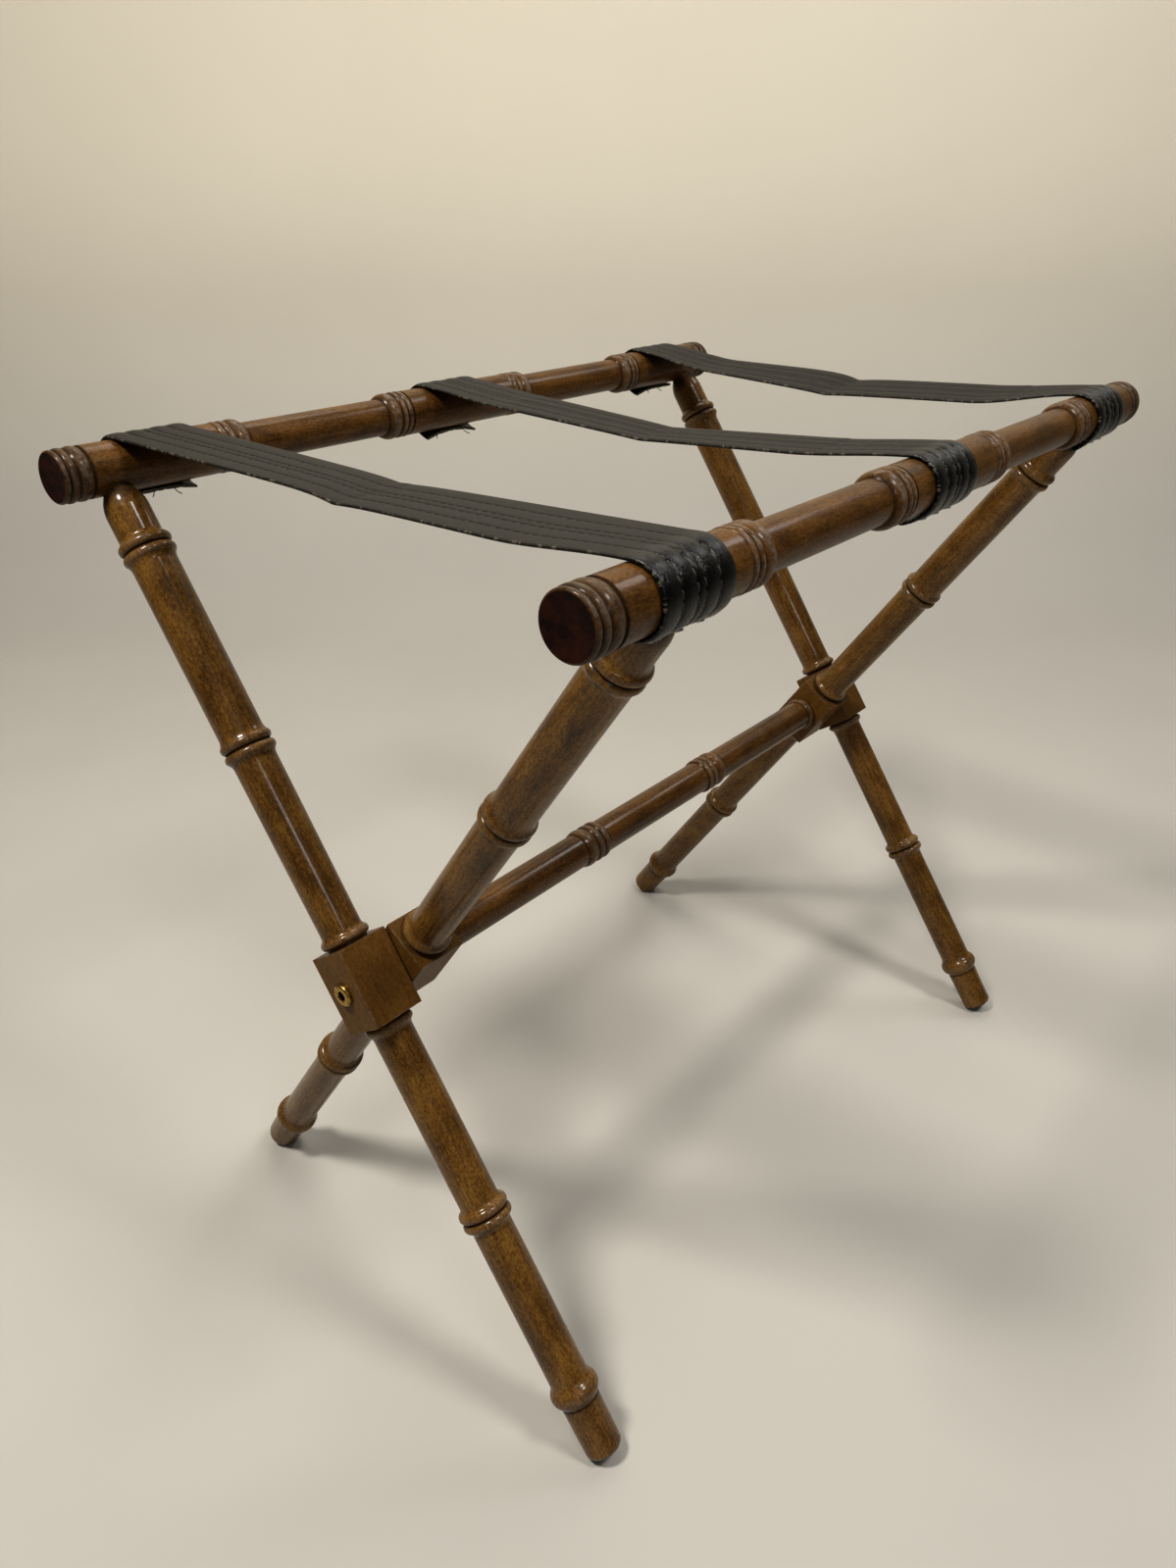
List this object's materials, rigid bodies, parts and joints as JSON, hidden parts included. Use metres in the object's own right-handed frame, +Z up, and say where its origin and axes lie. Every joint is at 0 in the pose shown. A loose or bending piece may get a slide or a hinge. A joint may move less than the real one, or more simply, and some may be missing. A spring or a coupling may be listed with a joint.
{
  "type": "folding luggage rack",
  "caption": "Folding luggage rack: two crossed frames of turned bamboo-style wood with top rails, a stretcher and stitched straps, hinged on pivot bolts.",
  "frame": {"origin": "on the floor, midway between the four feet, directly under the pivot line", "axes": "+Z up; +X along the rails, from the near end to the far end; +Y from the front rail to the back rail"},
  "size_m": [0.606, 0.405, 0.5497],
  "materials": {
    "rail_wood": "satin lacquer over walnut-brown stain, grain along the rail",
    "leg_wood": "satin lacquer over amber-brown stain, grain along the leg",
    "stretcher_wood": "satin lacquer over amber-brown stain",
    "brass": "polished, lightly tarnished",
    "washer_steel": "dull",
    "insert_steel": "zinc plated",
    "strap": "grained black, stitched in rows",
    "tack_steel": "nickel plated"
  },
  "bodies": {
    "outer_frame": {"rail_back": "rail_wood", "leg_outer_near": "leg_wood", "leg_outer_far": "leg_wood", "strap_near": "strap", "strap_middle": "strap", "strap_far": "strap", "tacks_back_near": "tack_steel", "tacks_back_middle": "tack_steel", "tacks_back_far": "tack_steel"},
    "inner_frame": {"rail_front": "rail_wood", "leg_inner_near": "leg_wood", "leg_inner_far": "leg_wood", "stretcher": "stretcher_wood", "pivot_bolt_near": "brass", "pivot_bolt_far": "brass", "pivot_washer_near": "washer_steel", "pivot_washer_far": "washer_steel", "threaded_insert_near": "insert_steel", "threaded_insert_far": "insert_steel", "tacks_front_near": "tack_steel", "tacks_front_middle": "tack_steel", "tacks_front_far": "tack_steel"}
  },
  "joints": [
    {"name": "fold", "type": "hinge", "parent": "outer_frame", "child": "inner_frame", "pos_m": [0, 0, 0.26455], "axis": [-1, 0, 0], "range_deg": [0, 63], "deforming": ["strap_near", "strap_middle", "strap_far"]}
  ]
}
